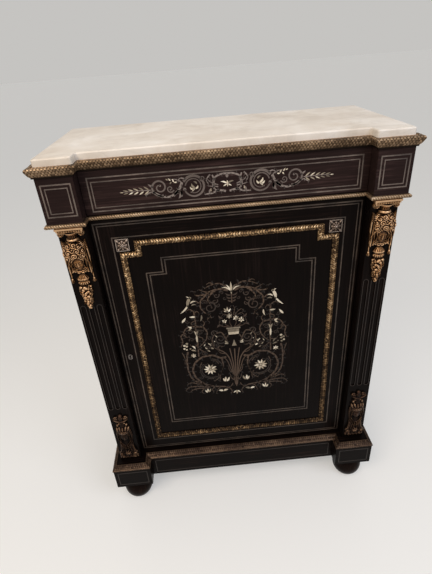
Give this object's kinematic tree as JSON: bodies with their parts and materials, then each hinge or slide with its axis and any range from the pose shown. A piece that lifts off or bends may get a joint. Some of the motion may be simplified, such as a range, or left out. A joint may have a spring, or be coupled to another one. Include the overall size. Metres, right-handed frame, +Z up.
{
  "type": "side cabinet",
  "caption": "Ebonised side cabinet with a breakfront marble top, gilt mouldings and corner mounts, a frieze drawer, an inset marquetry door and bun feet.",
  "frame": {"origin": "on the floor, in the middle of the overall width and depth", "axes": "+Z up, -Y to the front, +X to the right as seen from the front"},
  "size_m": [0.8, 0.37, 1.08],
  "materials": {
    "ebonised_wood": "black stained and polished",
    "inner_wood": "plain oak, waxed",
    "white_marble": "polished, worn",
    "gilt_bronze": "cast, gilded, darkened in the hollows",
    "brass_fittings": "rolled plate, dull",
    "lock_steel": "dull"
  },
  "bodies": {
    "carcass": {"back_panel": "inner_wood", "base_moulding": "gilt_bronze", "bottom_board": "ebonised_wood", "door_stop": "inner_wood", "drawer_rail": "ebonised_wood", "drawer_runner_left": "inner_wood", "drawer_runner_right": "inner_wood", "drawer_stops": "inner_wood", "foot_back_left": "ebonised_wood", "foot_back_right": "ebonised_wood", "foot_front_left": "ebonised_wood", "foot_front_right": "ebonised_wood", "frieze_back_rail": "inner_wood", "frieze_block_left": "ebonised_wood", "frieze_block_right": "ebonised_wood", "frieze_side_left": "ebonised_wood", "frieze_side_right": "ebonised_wood", "hinge_case_plates": "brass_fittings", "lower_mount_left": "gilt_bronze", "lower_mount_right": "gilt_bronze", "marble_top": "white_marble", "pilaster_left": "ebonised_wood", "pilaster_right": "ebonised_wood", "plinth_back_rail": "inner_wood", "plinth_block_left": "ebonised_wood", "plinth_block_right": "ebonised_wood", "plinth_front_rail": "ebonised_wood", "plinth_glue_blocks": "inner_wood", "plinth_side_left": "ebonised_wood", "plinth_side_right": "ebonised_wood", "rear_post_left": "ebonised_wood", "rear_post_right": "ebonised_wood", "rope_moulding": "gilt_bronze", "shelf": "inner_wood", "shelf_cleats": "inner_wood", "side_panel_left": "ebonised_wood", "side_panel_right": "ebonised_wood", "strike_plate": "brass_fittings", "sub_top": "inner_wood", "top_moulding": "gilt_bronze", "upper_mount_left": "gilt_bronze", "upper_mount_right": "gilt_bronze"},
    "door": {"door_border": "gilt_bronze", "door_panel": "ebonised_wood", "door_rail_bottom": "ebonised_wood", "door_rail_top": "ebonised_wood", "door_rosettes": "gilt_bronze", "door_stile_left": "ebonised_wood", "door_stile_right": "ebonised_wood", "escutcheon": "brass_fittings", "hinge_door_plates": "brass_fittings", "lock_case": "lock_steel"},
    "drawer": {"drawer_back": "inner_wood", "drawer_bottom": "inner_wood", "drawer_front": "ebonised_wood", "drawer_side_left": "inner_wood", "drawer_side_right": "inner_wood"},
    "lock_bolt": {"lock_bolt": "lock_steel"}
  },
  "joints": [
    {"name": "door_hinge", "type": "hinge", "parent": "carcass", "child": "door", "pos_m": [0.2975, -0.12, 0.554], "axis": [0, 0, 1], "range_deg": [0, 90]},
    {"name": "drawer_slide", "type": "slide", "parent": "carcass", "child": "drawer", "axis": [0, -1, 0], "range_m": [0, 0.19]},
    {"name": "lock_bolt_slide", "type": "slide", "parent": "door", "child": "lock_bolt", "axis": [-1, 0, 0], "range_m": [0, 0.01]}
  ]
}
